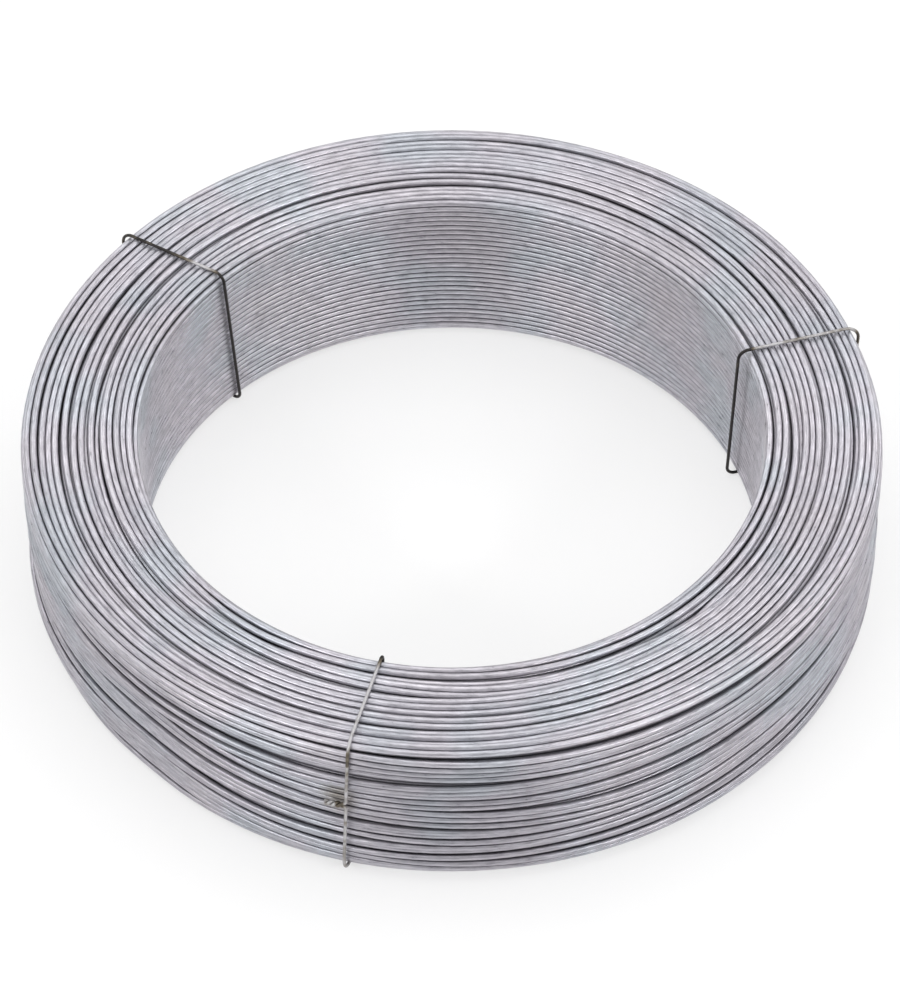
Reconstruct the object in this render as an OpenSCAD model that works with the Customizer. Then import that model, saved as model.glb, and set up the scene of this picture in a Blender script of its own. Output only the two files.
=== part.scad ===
// Coil of galvanised steel wire, bound with three wire ties and lying on one end.
// The coil stands on +Z, centred on its bore, and z = 0 is the floor under the ties.
// All sizes are in millimetres and all angles in degrees.

/* [Wire] */
// Diameter of the galvanised wire
wire_d = 2; // [1.6:0.1:2.4]
// Least gap between two turns that lie side by side
lay_gap = 0.03; // [0.01:0.01:0.1]
// Depth of the groove between two turns, below their crowns
groove_depth = 0.65; // [0.4:0.05:0.8]

/* [Coil] */
// Diameter of the bore, inside the innermost turns
bore_d = 189; // [170:1:220]
// Depth of the winding, from the bore to the outer face
wound_depth = 35.5; // [25:0.5:50]
// Height from the lowest turns to the highest
coil_h = 58; // [40:1:80]
// Radius of the two corners at the ends of the bore
bore_corner_r = 2.5; // [2:0.5:5]
// Radius of the shoulder, at the top of the outer face
shoulder_r = 4.5; // [3:0.5:8]
// Radius of the toe, at the foot of the outer face
toe_r = 7.5; // [4:0.5:12]

/* [Ties] */
// Diameter of the soft wire of the ties
tie_d = 1; // [0.8:0.1:1.3]
// Gap between a tie and the crowns of the turns that it holds
tie_gap = 0.05; // [0.02:0.01:0.1]
// Places of the left tie round the coil: top of the bore, shoulder, toe, foot of the bore
tie_left_angles = [138.9, 141.4, 139, 136]; // [125:0.1:155]
// Places of the right tie round the coil, in the same order
tie_right_angles = [18.5, 18, 19.4, 20.9]; // [8:0.1:35]
// Places of the front tie round the coil, in the same order
tie_front_angles = [-102.4, -103.2, -103.9, -103.4]; // [-118:0.1:-98]
// How far the left tie stands off the bore wall
tie_left_stand = 0.6; // [0:0.1:3]
// How far the right tie stands off the bore wall
tie_right_stand = 1.8; // [0:0.1:3]
// How far the front tie stands off the bore wall
tie_front_stand = 0.6; // [0:0.1:3]

/* [Twist of a tie's two ends] */
// Height of the twist above the lowest turns
twist_h = 33; // [20:1:40]
// Length of the twisted tail
twist_len = 5; // [3:0.5:8]
// Full turns in the twisted tail
twist_turns = 1.5; // [0.5:0.25:3]
// Bend radius where each end leaves the loop for the twist
elbow_r = 1.2; // [1:0.1:2]
// Gap between the two strands of the twist
strand_gap = 0.04; // [0.02:0.01:0.1]

/* [Hidden] */
$fn = 96;
zinc_grey = [0.72, 0.72, 0.75];
tie_grey = [0.42, 0.41, 0.40];
quarter = 90;
whole_turn = 360;

wire_r = wire_d/2;
bore_r = bore_d/2;
outer_r = bore_r + wound_depth;

// The section's outline, clockwise from the foot of the bore wall. It has four straight
// runs (bore wall, top, outer face, underside), and each run ends in a bend.
run_dir = [[0, 1], [1, 0], [0, -1], [-1, 0]];
run_len = [
    coil_h - 2*bore_corner_r,
    wound_depth - bore_corner_r - shoulder_r,
    coil_h - shoulder_r - toe_r,
    wound_depth - toe_r - bore_corner_r
];
bend_r = [bore_corner_r, shoulder_r, toe_r, bore_corner_r];
bend_mid = [
    [bore_r + bore_corner_r, coil_h - bore_corner_r],
    [outer_r - shoulder_r, coil_h - shoulder_r],
    [outer_r - toe_r, toe_r],
    [bore_r + bore_corner_r, bore_corner_r]
];
// Share of each bend that lies on the outer face
outer_shares = [0, 1, 1, 0];
sides = len(run_dir);
bend_steps = 6;
turn_sides = 12;

// Length of each bend, measured along the centres of its turns
bend_len = [for (r = bend_r) (r - wire_r)*PI/2];

// The turns are spread evenly along the whole outline
outline_len = run_len*[1, 1, 1, 1] + bend_len*[1, 1, 1, 1];
turns_around = floor(outline_len/(wire_d + lay_gap));
lay_pitch = outline_len/turns_around;

// How deep each turn in a row lies, as a share of the wire's diameter. The bore wall was
// wound on a former and is even, and the other faces repeat these shares.
sink_shares = [0, 0.04, 0.12, 0, 0.02, 0.09, 0.03, 0, 0.13, 0.05, 0];

// A tie's centre line runs this far outside the crowns
tie_off = tie_gap + tie_d/2;
// Each strand of the twist lies this far from the twist's middle, and the outer run of
// the loop stands as far off the turns, because the twist lies between
strand_off = (tie_d + strand_gap)/2;
tie_bend_r = [for (r = bend_r) r + tie_off];
outer_run_r = outer_r + tie_off + strand_off;
tie_sides = 12;
tie_steps = 6;
strand_steps = ceil(12*twist_turns);

// A tie lies on one of its flats, and the flats under the ties are the floor
ring_r = tie_d/2/cos(whole_turn/tie_sides/2);
stand_h = tie_gap + tie_d;

// Outward direction of a run, and the run or bend before another
function run_normal(k) = [-run_dir[k].y, run_dir[k].x];
function before(k) = (k + sides - 1) % sides;

// A point in a bend, at a share of its turn, inset from the crowns
function bend_point(k, share, inset) = let (turn = quarter*share)
    bend_mid[k] + (bend_r[k] - inset)*(cos(turn)*run_normal(k) + sin(turn)*run_dir[k]);

// A point on the outline, at a distance along the centres of the turns
function outline_point(along, inset, k = 0) =
    along < run_len[k]
        ? bend_point(before(k), 1, inset) + along*run_dir[k]
        : along < run_len[k] + bend_len[k]
            ? bend_point(k, (along - run_len[k])/bend_len[k], inset)
            : outline_point(along - run_len[k] - bend_len[k], inset, k + 1);

// How far a turn lies below the outline
function sink(i) = i*lay_pitch <= run_len[0] + bend_len[0]
    ? 0
    : wire_d*sink_shares[i % len(sink_shares)];

// Half section of the coil: the solid bundle, and the round turns that show on its faces
module coil_section() {
    polygon([for (k = [sides - 1 : -1 : 0], step = [bend_steps : -1 : 0])
        bend_point(k, step/bend_steps, groove_depth)]);
    for (i = [0 : turns_around - 1])
        translate(outline_point(i*lay_pitch, wire_r + sink(i)))
            circle(d = wire_d, $fn = turn_sides);
}

module wire_coil() {
    color(zinc_grey)
        translate([0, 0, stand_h])
            rotate_extrude()
                coil_section();
}

// A tie is one wire, bent into a loop. Each ring of it is the middle of the wire and the
// two directions across the wire there, outward and sideways, laid out in the x-z plane.
function loop_ring(k, share, stand) =
    let (
        turn = quarter*share,
        out = cos(turn)*run_normal(k) + sin(turn)*run_dir[k],
        shift = [outer_shares[k]*strand_off - (1 - outer_shares[k])*stand, 0],
        mid = bend_mid[k] + shift + tie_bend_r[k]*out
    )
    [[mid.x, 0, mid.y], [out.x, 0, out.y], [0, 1, 0]];

// The elbow by which an end leaves the loop. Up is 1 for the end that comes down from the
// shoulder, and -1 for the end that comes up from the toe.
function elbow_ring(share, up) =
    let (
        turn = quarter*share,
        side = [0, cos(turn), -up*sin(turn)],
        centre = [outer_run_r, -elbow_r, twist_h + up*(strand_off + elbow_r)]
    )
    [centre + elbow_r*side, [1, 0, 0], side];

// The end's strand of the twist, which winds round the other end's strand
function strand_ring(share, up) =
    let (
        turn = whole_turn*twist_turns*share,
        axis = [outer_run_r, -elbow_r - twist_len*share, twist_h],
        slope = 2*PI*twist_turns*strand_off/twist_len,
        ahead = unit([up*slope*cos(turn), -1, -up*slope*sin(turn)]),
        out = unit([1, 0, 0] - ahead.x*ahead)
    )
    [axis + up*strand_off*[sin(turn), 0, cos(turn)], out, -up*cross(ahead, out)];

function unit(v) = v/norm(v);

// A ring moved to its place round the coil
function turned(v, angle) = [
    v.x*cos(angle) - v.y*sin(angle),
    v.x*sin(angle) + v.y*cos(angle),
    v.z
];
function placed(ring, angle) = [for (v = ring) turned(v, angle)];

// The twist lies on the straight run from shoulder to toe, in line with both
function twist_angle(angles) =
    lookup(twist_h, [[bend_mid[2].y, angles[2]], [bend_mid[1].y, angles[1]]]);

function tie_rings(angles, stand) = [
    for (step = [strand_steps : -1 : 1])
        placed(strand_ring(step/strand_steps, 1), twist_angle(angles)),
    for (step = [tie_steps : -1 : 0])
        placed(elbow_ring(step/tie_steps, 1), twist_angle(angles)),
    for (k = [1, 0, 3, 2], step = [tie_steps : -1 : 0])
        placed(loop_ring(k, step/tie_steps, stand), angles[k]),
    for (step = [0 : tie_steps])
        placed(elbow_ring(step/tie_steps, -1), twist_angle(angles)),
    for (step = [1 : strand_steps])
        placed(strand_ring(step/strand_steps, -1), twist_angle(angles))
];

// A round wire through a list of rings
module wire_through(rings) {
    last = len(rings) - 1;
    points = [for (ring = rings, i = [0 : tie_sides - 1])
        let (around = whole_turn*(i + 1/2)/tie_sides)
        ring[0] + ring_r*(cos(around)*ring[1] + sin(around)*ring[2])];
    faces = [
        [for (i = [0 : tie_sides - 1]) i],
        for (n = [0 : last - 1], i = [0 : tie_sides - 1])
            let (j = (i + 1) % tie_sides)
            [i, i + tie_sides, j + tie_sides, j] + n*tie_sides*[1, 1, 1, 1],
        [for (i = [tie_sides - 1 : -1 : 0]) last*tie_sides + i]
    ];
    polyhedron(points, faces, convexity = sides);
}

module tie(angles, stand) {
    color(tie_grey)
        translate([0, 0, stand_h])
            wire_through(tie_rings(angles, stand));
}

module tie_left() { tie(tie_left_angles, tie_left_stand); }
module tie_right() { tie(tie_right_angles, tie_right_stand); }
module tie_front() { tie(tie_front_angles, tie_front_stand); }

wire_coil();
tie_left();
tie_right();
tie_front();
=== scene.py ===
import math

import bpy
import numpy as np
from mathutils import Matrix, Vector


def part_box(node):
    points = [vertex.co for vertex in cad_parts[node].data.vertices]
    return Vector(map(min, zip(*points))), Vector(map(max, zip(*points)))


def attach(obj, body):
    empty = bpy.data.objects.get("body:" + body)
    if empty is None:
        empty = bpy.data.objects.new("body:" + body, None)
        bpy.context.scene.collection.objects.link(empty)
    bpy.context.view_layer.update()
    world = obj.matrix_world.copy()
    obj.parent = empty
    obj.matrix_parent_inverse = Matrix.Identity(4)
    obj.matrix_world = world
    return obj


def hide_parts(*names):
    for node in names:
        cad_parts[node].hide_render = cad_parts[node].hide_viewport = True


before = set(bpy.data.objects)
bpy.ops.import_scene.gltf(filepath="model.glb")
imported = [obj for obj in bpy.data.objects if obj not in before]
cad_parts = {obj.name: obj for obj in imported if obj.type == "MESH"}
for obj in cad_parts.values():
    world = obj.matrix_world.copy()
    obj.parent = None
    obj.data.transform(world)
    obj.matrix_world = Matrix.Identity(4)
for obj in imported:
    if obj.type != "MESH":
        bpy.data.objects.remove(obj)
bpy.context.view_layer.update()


# The coil is one length of smooth galvanised steel wire, wound turn by turn round a former and
# lifted off. The turns of the bore wall stay as even as the former left them. Those of the top, the
# outer face and the underside settle loosely: they bunch up, part and sink. Lengths are in mm.
mm = 0.001
wire_d = 2.0
wire_r = wire_d / 2
bore_r = 94.5
bore_corner_r = 2.5
shoulder_r = 4.5
toe_r = 7.5
coil_low, coil_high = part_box("wire_coil")
outer_r = coil_high.x / mm
base_z = coil_low.z / mm
top_z = coil_high.z / mm
# Corners of the section: place, radius, the way inward, and the angle at which the bend starts
corners = [
    (bore_r, top_z, bore_corner_r, 1, -1, 180),
    (outer_r, top_z, shoulder_r, -1, -1, 90),
    (outer_r, base_z, toe_r, -1, 1, 0),
    (bore_r, base_z, bore_corner_r, 1, 1, -90),
]
# Points of the wire in one turn round the coil
stations = 144
rng = np.random.default_rng(11)


class Outline:
    """The closed line round the coil's section on which a layer's turns have their centres,
    clockwise from the foot of the bore wall. It lies inset from the faces of the coil."""

    bend_points = 16

    def __init__(self, inset):
        points, normals = [], []
        for r, z, corner_r, inward_r, inward_z, start in corners:
            stand = max(corner_r, inset)
            angle = np.radians(np.linspace(start, start - 90, self.bend_points))
            normal = np.stack([np.cos(angle), np.sin(angle)], 1)
            middle = np.array([r + inward_r * stand, z + inward_z * stand])
            points.append(middle + (stand - inset) * normal)
            normals.append(normal)
        foot = points[3][-1]
        self.points = np.concatenate([[foot]] + points)
        self.normals = np.concatenate([[(-1.0, 0.0)]] + normals)
        steps = np.linalg.norm(np.diff(self.points, axis=0), axis=1)
        self.along = np.concatenate([[0], np.cumsum(steps)])
        self.length = self.along[-1]

    def at(self, along):
        wrapped = along % self.length
        point, normal = (
            np.stack([np.interp(wrapped, self.along, line[:, axis]) for axis in (0, 1)], -1)
            for line in (self.points, self.normals)
        )
        return point, normal / np.linalg.norm(normal, axis=-1, keepdims=True)


def by_face(normal, bore, top, outer, under):
    """A value for each face of the coil, blended round the corners by the way the face looks."""
    out, up = normal[..., 0], normal[..., 1]
    shares = [np.clip(-out, 0, 1), np.clip(up, 0, 1), np.clip(out, 0, 1), np.clip(-up, 0, 1)]
    return sum(value * share**2 for value, share in zip((bore, top, outer, under), shares))


def face_ripple(along, around, waves, length_range, most_lobes):
    """Smooth noise over the coil's faces, the same after a whole turn: waves of a few lobes round
    the coil."""
    total = np.zeros_like(along)
    for _ in range(waves):
        length = rng.uniform(*length_range)
        lobes = rng.integers(1, most_lobes + 1) * rng.choice([-1, 1])
        total += np.sin(2 * np.pi * along / length + lobes * around + rng.uniform(0, 2 * np.pi))
    return total / math.sqrt(waves / 2)


def wire_ripple(turn, waves, per_turn_range):
    """Smooth noise along the wire, by which each turn goes its own way."""
    total = np.zeros_like(turn)
    for _ in range(waves):
        total += np.sin(2 * np.pi * (turn * rng.uniform(*per_turn_range) + rng.uniform()))
    return total / math.sqrt(waves / 2)


def hollow(around, middle, wide):
    """1 at a place round the coil, in degrees, and nothing away from it."""
    return np.exp((np.cos(around - math.radians(middle)) - 1) / math.radians(wide) ** 2)


def overhang(z, around):
    """How far the turns of the outer face lie inside its outline: the upper ones slid out over
    those just below, and at two places the lower ones stayed behind."""
    step_z = 41 + 2.5 * np.sin(around + 0.6) + 1.5 * np.sin(3 * around)
    ledge_depth = 1.5 - 1.4 * hollow(around, middle=-170, wide=14)
    ledge_below, ledge_high, edge_softness = 2, 5, 0.6
    ledge = ledge_depth * np.exp(-((z - step_z + ledge_below) / ledge_high) ** 2)
    left_recess = 4.6 * hollow(around, middle=-136, wide=14)
    right_recess = 1.2 * hollow(around, middle=-46, wide=10)
    deep = ledge + left_recess + right_recess
    return deep / (1 + np.exp((z - step_z) / edge_softness))


def lay_layer(inset, pitches, clumps, drifts, strays, sinks):
    """Where one layer of turns would lie, before the turns make room for each other. The lists give
    values for the bore wall, the top, the outer face and the underside: how far apart the turns
    are, how much they bunch up in twos and threes and in bundles, and how far each one strays
    sideways and sinks. The turns of a layer keep their order all the way round."""
    outline = Outline(inset)
    outline_steps = 4000
    fine = np.linspace(0, outline.length, outline_steps)
    crowd = np.cumsum(1 / by_face(outline.at(fine)[1], *pitches)) * (fine[1] - fine[0])
    turns = int(crowd[-1])
    turn = np.arange(turns * stations).reshape(turns, stations) / stations
    around = 2 * np.pi * (turn % 1)
    along = np.interp(turn * crowd[-1] / turns, crowd, fine)
    _, normal = outline.at(along)
    clump = by_face(normal, *clumps) * face_ripple(
        along, around, waves=6, length_range=(4.6, 9.5), most_lobes=3)
    drift = by_face(normal, *drifts) * face_ripple(
        along, around, waves=6, length_range=(12, 30), most_lobes=2)
    stray = by_face(normal, *strays) * wire_ripple(turn, waves=6, per_turn_range=(0.3, 1.7))
    sink = by_face(normal, *sinks) * np.abs(wire_ripple(turn, waves=7, per_turn_range=(0.3, 2.3)))
    point, normal = outline.at(np.sort(along + clump + drift + stray, axis=0))
    point = point - sink[..., None] * normal
    point[..., 0] -= np.clip(normal[..., 0], 0, 1) * overhang(point[..., 1], around)
    return point


def keep_inside(turns, around):
    """Moves every turn that has been pushed out of the coil's faces back to them."""
    r, z = turns[..., 0], turns[..., 1]
    r[:] = np.clip(r, bore_r + wire_r, outer_r - wire_r - overhang(z, around))
    z[:] = np.clip(z, base_z + wire_r, top_z - wire_r)
    for corner_at_r, corner_at_z, corner_r, inward_r, inward_z, _ in corners:
        dr = r - (corner_at_r + inward_r * corner_r)
        dz = z - (corner_at_z + inward_z * corner_r)
        reach = np.hypot(dr, dz)
        past = (dr * inward_r < 0) & (dz * inward_z < 0) & (reach > corner_r - wire_r)
        back = np.where(past, (corner_r - wire_r) / np.maximum(reach, 1e-9), 1) - 1
        r += dr * back
        z += dz * back


def touching(turns, reach):
    """The pairs of turns that lie within reach of each other, station by station."""
    pairs = []
    for station in range(stations):
        here = turns[:, station]
        near = np.abs(here[:, None, :] - here[None, :, :]).max(-1) < reach
        first, second = np.nonzero(np.triu(near, 1))
        pairs.append((first * stations + station, second * stations + station))
    return (np.concatenate(side) for side in zip(*pairs))


def settle(layers, rounds):
    """Lets the turns press each other apart to a wire's width, with the stiffness of wire along
    them. They are drawn to where they would lie, and less so from round to round."""
    draw, stiffness, give = 0.04, 0.25, 0.45
    neighbour_reach, rounds_between_looks, presses_in_round = 1.3, 6, 2
    counts = [len(layer) for layer in layers]
    wish = np.concatenate(layers)
    turns = wish.copy()
    around = 2 * np.pi * np.arange(stations) / stations
    for step in range(rounds):
        if step % rounds_between_looks == 0:
            first, second = touching(turns, wire_d * neighbour_reach)
        turns += draw * (1 - step / rounds) * (wish - turns)
        start = 0
        for count in counts:
            wire = turns[start:start + count].reshape(-1, 2)
            wire[1:-1] += stiffness * (wire[:-2] + wire[2:] - 2 * wire[1:-1])
            start += count
        flat = turns.reshape(-1, 2)
        for _ in range(presses_in_round):
            between = flat[second] - flat[first]
            apart = np.hypot(between[:, 0], between[:, 1])
            press = give * np.clip(wire_d - apart, 0, None) / np.maximum(apart, 1e-6)
            for axis in (0, 1):
                push = press * between[:, axis]
                pushed_on = np.bincount(second, push, len(flat))
                pushed_back = np.bincount(first, push, len(flat))
                flat[:, axis] += pushed_on - pushed_back
            keep_inside(turns, around)
    return np.split(turns, np.cumsum(counts)[:-1])


layer_depth = 1.8
face_lay = dict(
    pitches=(2.07, 2.26, 2.38, 2.22),
    clumps=(0, 0.7, 0.9, 0.5),
    drifts=(0, 0.8, 1.4, 0.5),
    strays=(0, 0.9, 1.2, 0.5),
    sinks=(0.02, 0.8, 0.5, 0.4),
)
inner_lay = dict(
    pitches=(2.1, 2.1, 2.1, 2.1),
    clumps=(0, 0.3, 0.4, 0.3),
    drifts=(0, 0.3, 0.5, 0.3),
    strays=(0, 0.3, 0.4, 0.3),
    sinks=(0, 0.4, 0.5, 0.4),
)
face_layer, second_layer, third_layer = settle([
    lay_layer(wire_r, **face_lay),
    lay_layer(wire_r + layer_depth, **inner_lay),
    lay_layer(wire_r + 2 * layer_depth, **inner_lay),
], rounds=160)


def wire_piece(name, layer, first, last, sides):
    """A mesh of the turns from first to last of a layer, as one round wire with closed ends, and a
    second ring close to each end that keeps its edge crisp. Its map runs along the wire in metres
    and around it in turns."""
    path = layer.reshape(-1, 2)
    start, end = int(first * stations), min(int(last * stations), len(path) - 1)
    edge = 0.01
    ring = np.concatenate([[start, start + edge], np.arange(start + 1, end), [end - edge, end]])
    around = 2 * np.pi * ring / stations
    side = 2 * np.pi * np.arange(sides) / sides
    r = np.interp(ring, np.arange(len(path)), path[:, 0])[:, None] + wire_r * np.cos(side)
    z = np.interp(ring, np.arange(len(path)), path[:, 1])[:, None] + wire_r * np.sin(side)
    points = np.stack([r * np.cos(around)[:, None], r * np.sin(around)[:, None], z], -1) * mm
    rings = len(ring)
    a = (np.arange(rings - 1)[:, None] * sides + np.arange(sides)).ravel()
    b = (np.arange(rings - 1)[:, None] * sides + (np.arange(sides) + 1) % sides).ravel()
    quads = np.stack([a, a + sides, b + sides, b], 1)
    ends = [list(range(sides)), [(rings - 1) * sides + i for i in reversed(range(sides))]]
    mesh = bpy.data.meshes.new(name)
    mesh.from_pydata(points.reshape(-1, 3), [], quads.tolist() + ends)
    length = ring / stations * 2 * np.pi * path[:, 0].mean() * mm
    lay = mesh.uv_layers.new(name="lay")
    corner = np.empty(len(mesh.loops), dtype=np.int32)
    mesh.loops.foreach_get("vertex_index", corner)
    uv = np.stack([length[corner // sides], (corner % sides) / sides], 1)
    seam = np.zeros(len(corner), bool)
    seam[:len(quads) * 4] = np.repeat(b % sides == 0, 4)
    uv[seam & (corner % sides == 0), 1] = 1
    lay.data.foreach_set("uv", uv.astype(np.float32).ravel())
    mesh.polygons.foreach_set("use_smooth", np.arange(len(mesh.polygons)) < len(quads))
    mesh.update()
    piece = bpy.data.objects.new(name, mesh)
    bpy.context.collection.objects.link(piece)
    return piece


def add_node(material, kind, **inputs):
    """A node in a material's tree, with its settings and the values of its sockets."""
    node = material.node_tree.nodes.new(kind)
    for key, value in inputs.items():
        if key in node.bl_rna.properties:
            setattr(node, key, value)
        else:
            node.inputs[key.replace("_", " ")].default_value = value
    return node


def add_ramp(material, low, low_color, high, high_color):
    """A ramp between two colours, in a material's tree."""
    ramp = add_node(material, "ShaderNodeValToRGB")
    low_end, high_end = ramp.color_ramp.elements
    low_end.position, low_end.color = low, low_color
    high_end.position, high_end.color = high, high_color
    return ramp


galvanised = bpy.data.materials.new("galvanised_wire")
galvanised.use_nodes = True
shader = galvanised.node_tree.nodes["Principled BSDF"]
shader.inputs["Metallic"].default_value = 0.6
join = galvanised.node_tree.links.new
lay_map = add_node(galvanised, "ShaderNodeUVMap", uv_map="lay")
place = add_node(galvanised, "ShaderNodeTexCoord")

# Each stretch of the wire has its own tone, so that neighbouring turns differ
tone_scale = add_node(galvanised, "ShaderNodeMapping")
tone_scale.inputs["Scale"].default_value = (5, 0, 0)
tone = add_node(galvanised, "ShaderNodeTexNoise", Scale=1.0, Detail=2.0)
tone_ramp = add_ramp(galvanised, 0.3, (0.47, 0.46, 0.495, 1), 0.7, (0.64, 0.625, 0.665, 1))
join(lay_map.outputs["UV"], tone_scale.inputs["Vector"])
join(tone_scale.outputs["Vector"], tone.inputs["Vector"])
join(tone.outputs["Fac"], tone_ramp.inputs["Fac"])

# Drawing marks run along the wire, and the zinc over them is mottled
streak_scale = add_node(galvanised, "ShaderNodeMapping")
streak_scale.inputs["Scale"].default_value = (190, 7, 0)
streak = add_node(galvanised, "ShaderNodeTexNoise", Scale=1.0, Detail=4.0, Roughness=0.65)
streak_ramp = add_ramp(galvanised, 0.28, (0.6, 0.6, 0.61, 1), 0.75, (1.25, 1.25, 1.24, 1))
streaked = add_node(galvanised, "ShaderNodeMix", data_type="RGBA", blend_type="MULTIPLY")
streaked.inputs["Factor"].default_value = 1.0
join(lay_map.outputs["UV"], streak_scale.inputs["Vector"])
join(streak_scale.outputs["Vector"], streak.inputs["Vector"])
join(streak.outputs["Fac"], streak_ramp.inputs["Fac"])
join(tone_ramp.outputs["Color"], streaked.inputs["A"])
join(streak_ramp.outputs["Color"], streaked.inputs["B"])

# Patches of the coil have a faint blue, green or pink cast
tint = add_node(galvanised, "ShaderNodeTexNoise", Scale=32.0, Detail=2.0)
tint_ramp = add_ramp(galvanised, 0.36, (0.93, 0.985, 1.0, 1), 0.64, (1.0, 0.975, 0.985, 1))
tint_middle = tint_ramp.color_ramp.elements.new(0.5)
tint_middle.color = (0.99, 0.98, 1.0, 1)
tinted = add_node(galvanised, "ShaderNodeMix", data_type="RGBA", blend_type="MULTIPLY")
tinted.inputs["Factor"].default_value = 1.0
join(place.outputs["Object"], tint.inputs["Vector"])
join(tint.outputs["Fac"], tint_ramp.inputs["Fac"])
join(streaked.outputs["Result"], tinted.inputs["A"])
join(tint_ramp.outputs["Color"], tinted.inputs["B"])

# Painted shade: the grooves between the turns are darkened by how closely the neighbouring turns shut
# them in, by an amount that differs along the wire, more below the top and most in the bore
groove = add_node(galvanised, "ShaderNodeAmbientOcclusion", samples=8, Distance=0.0016)
groove_shade_ramp = add_ramp(galvanised, 0.15, (0.11, 0.10, 0.12, 1), 0.5, (1, 1, 1, 1))
groove_shaded = add_node(galvanised, "ShaderNodeMix", data_type="RGBA", blend_type="MULTIPLY")
groove_shade_share = add_node(galvanised, "ShaderNodeMapRange", From_Min=0.35, From_Max=0.6, To_Min=0.45)
join(tone.outputs["Fac"], groove_shade_share.inputs["Value"])
join(groove_shade_share.outputs["Result"], groove_shaded.inputs["Factor"])
place_parts = add_node(galvanised, "ShaderNodeSeparateXYZ")
below_top = add_node(
    galvanised, "ShaderNodeMapRange", From_Min=0.0575, From_Max=0.0555, To_Max=0.26)
deeper_shade_below_top = add_node(galvanised, "ShaderNodeMath", operation="SUBTRACT")
flat_place = add_node(galvanised, "ShaderNodeVectorMath", operation="MULTIPLY")
flat_place.inputs[1].default_value = (1, 1, 0)
from_axis = add_node(galvanised, "ShaderNodeVectorMath", operation="LENGTH")
in_bore = add_node(galvanised, "ShaderNodeMapRange", From_Min=0.099, From_Max=0.097, To_Max=0.09)
deepest_shade_in_bore = add_node(galvanised, "ShaderNodeMath", operation="SUBTRACT")
join(place.outputs["Object"], flat_place.inputs[0])
join(flat_place.outputs["Vector"], from_axis.inputs[0])
join(from_axis.outputs["Value"], in_bore.inputs["Value"])
join(place.outputs["Object"], place_parts.inputs["Vector"])
join(place_parts.outputs["Z"], below_top.inputs["Value"])
join(groove.outputs["AO"], deeper_shade_below_top.inputs[0])
join(below_top.outputs["Result"], deeper_shade_below_top.inputs[1])
join(deeper_shade_below_top.outputs["Value"], deepest_shade_in_bore.inputs[0])
join(in_bore.outputs["Result"], deepest_shade_in_bore.inputs[1])
join(deepest_shade_in_bore.outputs["Value"], groove_shade_ramp.inputs["Fac"])
join(tinted.outputs["Result"], groove_shaded.inputs["A"])
join(groove_shade_ramp.outputs["Color"], groove_shaded.inputs["B"])

# Painted shade: the outer face below the shoulder is a shade darker, as it turns away from the lights
# overhead
far_out = add_node(galvanised, "ShaderNodeMapRange", From_Min=0.119, From_Max=0.123)
under_shoulder = add_node(galvanised, "ShaderNodeMapRange", From_Min=0.056, From_Max=0.049)
outer_shade_mask = add_node(galvanised, "ShaderNodeMath", operation="MULTIPLY")
outer_face_shaded = add_node(galvanised, "ShaderNodeMix", data_type="RGBA", blend_type="MULTIPLY")
outer_face_shaded.inputs["B"].default_value = (0.82, 0.82, 0.83, 1)
join(from_axis.outputs["Value"], far_out.inputs["Value"])
join(place_parts.outputs["Z"], under_shoulder.inputs["Value"])
join(far_out.outputs["Result"], outer_shade_mask.inputs[0])
join(under_shoulder.outputs["Result"], outer_shade_mask.inputs[1])
join(outer_shade_mask.outputs["Value"], outer_face_shaded.inputs["Factor"])
join(groove_shaded.outputs["Result"], outer_face_shaded.inputs["A"])

# Around the front tie's twist the turns are darkened brown: a rust stain, with the twist's painted
# shadow in it
twist_distance = add_node(galvanised, "ShaderNodeVectorMath", operation="DISTANCE")
twist_distance.inputs[1].default_value = (-0.0335, -0.1255, 0.0335)
twist_stain_and_shadow = add_node(galvanised, "ShaderNodeMapRange", From_Min=0.0075, From_Max=0.0025, To_Max=0.85)
twist_stained_and_shaded = add_node(galvanised, "ShaderNodeMix", data_type="RGBA", blend_type="MULTIPLY")
twist_stained_and_shaded.inputs["B"].default_value = (0.52, 0.48, 0.38, 1)
join(place.outputs["Object"], twist_distance.inputs[0])
join(twist_distance.outputs["Value"], twist_stain_and_shadow.inputs["Value"])
join(twist_stain_and_shadow.outputs["Result"], twist_stained_and_shaded.inputs["Factor"])
join(outer_face_shaded.outputs["Result"], twist_stained_and_shaded.inputs["A"])
join(twist_stained_and_shaded.outputs["Result"], shader.inputs["Base Color"])

# The mottle also varies the gloss, and stands up a little
rough = add_node(galvanised, "ShaderNodeMapRange", To_Min=0.24, To_Max=0.34)
join(streak.outputs["Fac"], rough.inputs["Value"])
join(rough.outputs["Result"], shader.inputs["Roughness"])
bump = add_node(galvanised, "ShaderNodeBump", Strength=0.12, Distance=0.0001)
join(streak.outputs["Fac"], bump.inputs["Height"])
join(bump.outputs["Normal"], shader.inputs["Normal"])

# The face layer is cut into four lengths, counted in turns, and the inner layers have fewer sides
bore_end, top_end, outer_end = 20.75, 48.25, 64.25
face_sides, second_sides, third_sides = 12, 8, 6
for name, layer, first, last, sides in (
    ("wire_bore_wall", face_layer, 0, bore_end, face_sides),
    ("wire_top", face_layer, bore_end, top_end, face_sides),
    ("wire_outer_face", face_layer, top_end, outer_end, face_sides),
    ("wire_underside", face_layer, outer_end, len(face_layer), face_sides),
    ("wire_second_layer", second_layer, 0, len(second_layer), second_sides),
    ("wire_third_layer", third_layer, 0, len(third_layer), third_sides),
):
    turns = wire_piece(name, layer, first, last, sides)
    turns.data.materials.append(galvanised)
    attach(turns, "root")
    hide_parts("wire_coil")


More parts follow.
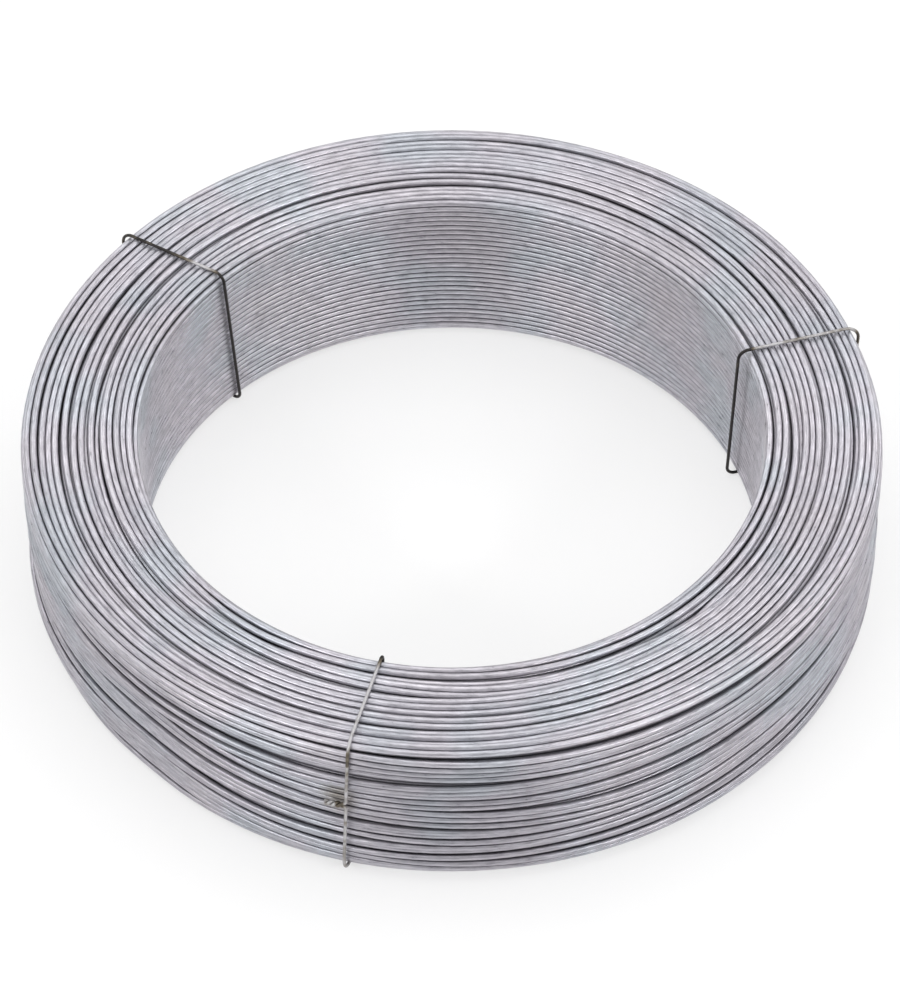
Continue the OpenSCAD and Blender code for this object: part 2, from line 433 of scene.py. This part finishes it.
# Three ties of soft annealed steel wire hold the turns together. Each is one strand, bent round the
# section by hand and closed on the outer face, where its two ends are twisted together and cut short.
# It is bare steel or darkened on top, black in the bore and brown round the bend into it, rusty at
# the twist, and painted with shade where it bends over the shoulder.
tie_r = 0.5
tie_gap = 0.05
tie_off = tie_gap + tie_r
strand_off = 0.52
elbow_r = 1.2
twist_z = base_z + 33
twist_len = 5.0
twist_turns = 1.5
elbow_points, twist_points, bend_points, path_points = 9, 28, 10, 600
# Bends of the loop: place, radius and the angle at which each ends
loop_corners = [
    (bore_r + bore_corner_r, top_z - bore_corner_r, bore_corner_r + tie_off, 180),
    (outer_r - shoulder_r + strand_off, top_z - shoulder_r, shoulder_r + tie_off, 90),
    (outer_r - toe_r + strand_off, base_z + toe_r, toe_r + tie_off, 0),
    (bore_r + bore_corner_r, base_z + bore_corner_r, bore_corner_r + tie_off, -90),
]
run_r = outer_r + tie_off + strand_off


def swing(points, angle):
    """Points moved to their place round the coil."""
    c, s = math.cos(math.radians(angle)), math.sin(math.radians(angle))
    return points @ np.array([[c, s, 0], [-s, c, 0], [0, 0, 1]])


def tie_path(angles, stand):
    """The strand's middle line, from one cut end round the coil to the other. The angles are its
    places at the top of the bore, the shoulder, the toe and the foot of the bore, and it stands off
    the bore wall."""
    shoulder_z, toe_z = loop_corners[1][1], loop_corners[2][1]
    twist_angle = np.interp(twist_z, [toe_z, shoulder_z], [angles[2], angles[1]])
    ends = []
    for up in (1, -1):
        share = np.linspace(0, 1, elbow_points)
        turn = share * math.pi / 2
        elbow = np.stack([
            np.full(elbow_points, run_r), elbow_r * (np.cos(turn) - 1),
            twist_z + up * (strand_off + elbow_r * (1 - np.sin(turn))),
        ], 1)
        share = np.linspace(0, 1, twist_points)[1:]
        turn = 2 * math.pi * twist_turns * share
        strand = np.stack([
            run_r + up * strand_off * np.sin(turn), -elbow_r - twist_len * share,
            twist_z + up * strand_off * np.cos(turn),
        ], 1)
        ends.append(swing(np.concatenate([elbow, strand]), twist_angle))
    bends = []
    for k in (1, 0, 3, 2):
        r, z, bend_r, start = loop_corners[k]
        turn = np.radians(np.linspace(start - 90, start, bend_points))
        shift = -stand if k in (0, 3) else 0
        bend = np.stack([
            r + shift + bend_r * np.cos(turn), np.zeros(bend_points), z + bend_r * np.sin(turn),
        ], 1)
        bends.append(swing(bend, angles[k]))
    line = np.concatenate([ends[0][::-1]] + bends + [ends[1]])
    along = np.concatenate([[0], np.cumsum(np.linalg.norm(np.diff(line, axis=0), axis=1))])
    even = np.linspace(0, along[-1], path_points)
    return np.stack([np.interp(even, along, line[:, axis]) for axis in range(3)], 1)


def tie_darkening(path, top_dark_share):
    """How dark the strand is along its line: 0 for bare steel, 0.5 for rust brown and 1 for black.
    The outer half of its run over the top is darkened by a share that differs from tie to tie."""
    r, z = np.hypot(path[:, 0], path[:, 1]), path[:, 2]
    steps = np.linalg.norm(np.diff(path, axis=0), axis=1)
    from_start = np.concatenate([[0], np.cumsum(steps)])
    from_cut = np.minimum(from_start, from_start[-1] - from_start)
    bore = np.interp(r, (95, 97, 101), (1, 0.5, 0))
    # Painted shade: where the strand bends over the outer side of the shoulder it is darkened, as
    # that stretch turns away from the lights overhead
    under_shoulder = 0.65 * np.interp(z, (51, 52.5, 57, 58.4), (0, 1, 1, 0)) * (r > 127)
    twist = np.interp(from_cut, (3.5, 4.5, 7, 9), (0, 0.5, 0.5, 0))
    top = top_dark_share * np.interp(r, (103, 110), (0, 1)) * (z > 57)
    outer_run = 0.22 * (r > 127) * (z < 52)
    return np.maximum.reduce([bore, under_shoulder, twist, top, outer_run])


tie_wire = bpy.data.materials.new("tie_wire")
tie_wire.use_nodes = True
tie_shader = tie_wire.node_tree.nodes["Principled BSDF"]
tie_shader.inputs["Metallic"].default_value = 0.7
tie_shader.inputs["Roughness"].default_value = 0.5
tie_join = tie_wire.node_tree.links.new
tie_place = add_node(tie_wire, "ShaderNodeTexCoord")
darkening = add_node(tie_wire, "ShaderNodeAttribute", attribute_name="darkening")
scale = add_node(tie_wire, "ShaderNodeTexNoise", Scale=320.0, Detail=3.0)
patchy = add_node(
    tie_wire, "ShaderNodeMapRange", From_Min=0.3, From_Max=0.7, To_Min=-0.2, To_Max=0.25)
dark = add_node(tie_wire, "ShaderNodeMath", operation="ADD", use_clamp=True)
tie_ramp = add_ramp(tie_wire, 0.12, (0.5, 0.49, 0.5, 1), 0.9, (0.03, 0.027, 0.026, 1))
rust = tie_ramp.color_ramp.elements.new(0.5)
rust.color = (0.16, 0.135, 0.10, 1)
tie_join(tie_place.outputs["Object"], scale.inputs["Vector"])
tie_join(scale.outputs["Fac"], patchy.inputs["Value"])
tie_join(darkening.outputs["Fac"], dark.inputs[0])
tie_join(patchy.outputs["Result"], dark.inputs[1])
tie_join(dark.outputs["Value"], tie_ramp.inputs["Fac"])
tie_join(tie_ramp.outputs["Color"], tie_shader.inputs["Base Color"])

for name, angles, stand, top_dark_share in (
    ("tie_left", (138.9, 141.4, 139, 136), 0.6, 0.9),
    ("tie_right", (18.5, 18, 19.4, 20.9), 1.8, 0.25),
    ("tie_front", (-102.4, -103.2, -103.9, -103.4), 0.6, 0.05),
):
    path = tie_path(angles, stand)
    strand = bpy.data.curves.new(name + "_strand", "CURVE")
    strand.dimensions = "3D"
    strand.bevel_depth = tie_r * mm
    strand.bevel_resolution = 4
    strand.use_fill_caps = True
    spline = strand.splines.new("POLY")
    spline.points.add(len(path) - 1)
    spline.points.foreach_set("co", np.column_stack([path * mm, np.ones(len(path))]).ravel())
    spline.use_smooth = True
    tie = bpy.data.objects.new(name + "_strand", strand)
    bpy.context.collection.objects.link(tie)
    bpy.ops.object.select_all(action="DESELECT")
    tie.select_set(True)
    bpy.context.view_layer.objects.active = tie
    bpy.ops.object.convert(target="MESH")
    tie = bpy.context.object
    corner = np.empty((len(tie.data.vertices), 3))
    tie.data.vertices.foreach_get("co", corner.ravel())
    nearest = np.linalg.norm(corner[:, None] / mm - path[None], axis=-1).argmin(1)
    darkening_data = tie.data.attributes.new("darkening", "FLOAT", "POINT")
    darkening_data.data.foreach_set("value", tie_darkening(path, top_dark_share)[nearest])
    tie.data.materials.clear()
    tie.data.materials.append(tie_wire)
    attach(tie, "root")
    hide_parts(name)


# The floor is a plain sheet of white paper, which reaches past the edges of the picture. To the eye
# and in the wire's reflections it is whiter than the light on it alone would make it.
bpy.ops.object.select_all(action="DESELECT")
bpy.ops.mesh.primitive_plane_add(size=6)
floor = bpy.context.object
floor.name = "floor"
floor_paper = bpy.data.materials.new("floor_paper")
floor_paper.use_nodes = True
paper = floor_paper.node_tree.nodes["Principled BSDF"]
paper.inputs["Base Color"].default_value = (0.95, 0.95, 0.95, 1)
paper.inputs["Roughness"].default_value = 0.9
paper.inputs["Specular IOR Level"].default_value = 0.0
paper_join = floor_paper.node_tree.links.new
seen = add_node(floor_paper, "ShaderNodeLightPath")
mirrored = add_node(floor_paper, "ShaderNodeMath", operation="MAXIMUM")
through = add_node(floor_paper, "ShaderNodeMath", operation="MAXIMUM")
white = add_node(floor_paper, "ShaderNodeEmission", Strength=1.0)
white.inputs["Color"].default_value = (1, 1, 1, 1)
blend = add_node(floor_paper, "ShaderNodeMixShader")
share = add_node(floor_paper, "ShaderNodeMath", operation="MULTIPLY")
share.inputs[1].default_value = 0.6
paper_out = floor_paper.node_tree.nodes["Material Output"]
paper_join(seen.outputs["Is Camera Ray"], mirrored.inputs[0])
paper_join(seen.outputs["Is Glossy Ray"], mirrored.inputs[1])
paper_join(mirrored.outputs["Value"], through.inputs[0])
paper_join(seen.outputs["Is Transmission Ray"], through.inputs[1])
paper_join(through.outputs["Value"], share.inputs[0])
paper_join(share.outputs["Value"], blend.inputs["Fac"])
paper_join(paper.outputs["BSDF"], blend.inputs[1])
paper_join(white.outputs["Emission"], blend.inputs[2])
paper_join(blend.outputs["Shader"], paper_out.inputs["Surface"])
floor.data.materials.append(floor_paper)

# Soft studio light: panels overhead and behind, and low strips round the coil, which draw a thin
# bright line along each turn. Each aims at the middle of the coil.
aim = Vector((0, 0, 0.03))
world = bpy.data.worlds.new("studio")
bpy.context.scene.world = world
world.use_nodes = True
world.node_tree.nodes["Background"].inputs["Color"].default_value = (1, 1, 1, 1)
world.node_tree.nodes["Background"].inputs["Strength"].default_value = 0.38
for name, azimuth, reach, lamp_z, wide, deep, power in (
    ("top_front_panel", -90, 0.2, 1.4, 1.4, 1.0, 4.4),
    ("top_back_panel", 90, 0.5, 1.35, 1.6, 0.7, 4.1),
    ("back_panel", 90, 1.2, 1.1, 3.0, 0.4, 5.4),
    ("front_left_strip", -135, 1.4, 0.9, 1.1, 0.15, 7.5),
    ("front_right_strip", -45, 1.4, 0.9, 1.1, 0.15, 7.5),
    ("left_strip", 180, 1.4, 0.9, 1.1, 0.3, 3.5),
    ("right_strip", 0, 1.4, 0.9, 1.1, 0.3, 4.7),
    ("back_left_strip", 135, 1.4, 0.9, 1.1, 0.3, 2),
    ("back_right_strip", 45, 1.4, 0.9, 1.1, 0.3, 2),
):
    light = bpy.data.lights.new(name, "AREA")
    light.shape = "RECTANGLE"
    light.size = wide
    light.size_y = deep
    light.energy = power
    panel = bpy.data.objects.new(name, light)
    bearing = math.radians(azimuth)
    panel.location = (reach * math.cos(bearing), reach * math.sin(bearing), lamp_z)
    panel.rotation_euler = (aim - panel.location).to_track_quat("-Z", "Y").to_euler()
    bpy.context.collection.objects.link(panel)

# The camera looks down at the coil from the front, as the photograph does.
camera_data = bpy.data.cameras.new("camera")
camera_data.lens = 197.4
camera_data.shift_x = -0.00186
camera_data.shift_y = -0.01148
camera = bpy.data.objects.new("camera", camera_data)
look_at = Vector((0, 0, (coil_low.z + coil_high.z) / 2))
elevation = math.radians(47.73)
distance = 1.673
camera.location = look_at + distance * Vector((0, -math.cos(elevation), math.sin(elevation)))
camera.rotation_euler = (look_at - camera.location).to_track_quat("-Z", "Y").to_euler()
bpy.context.collection.objects.link(camera)
bpy.context.scene.camera = camera
bpy.context.scene.view_settings.view_transform = "Standard"
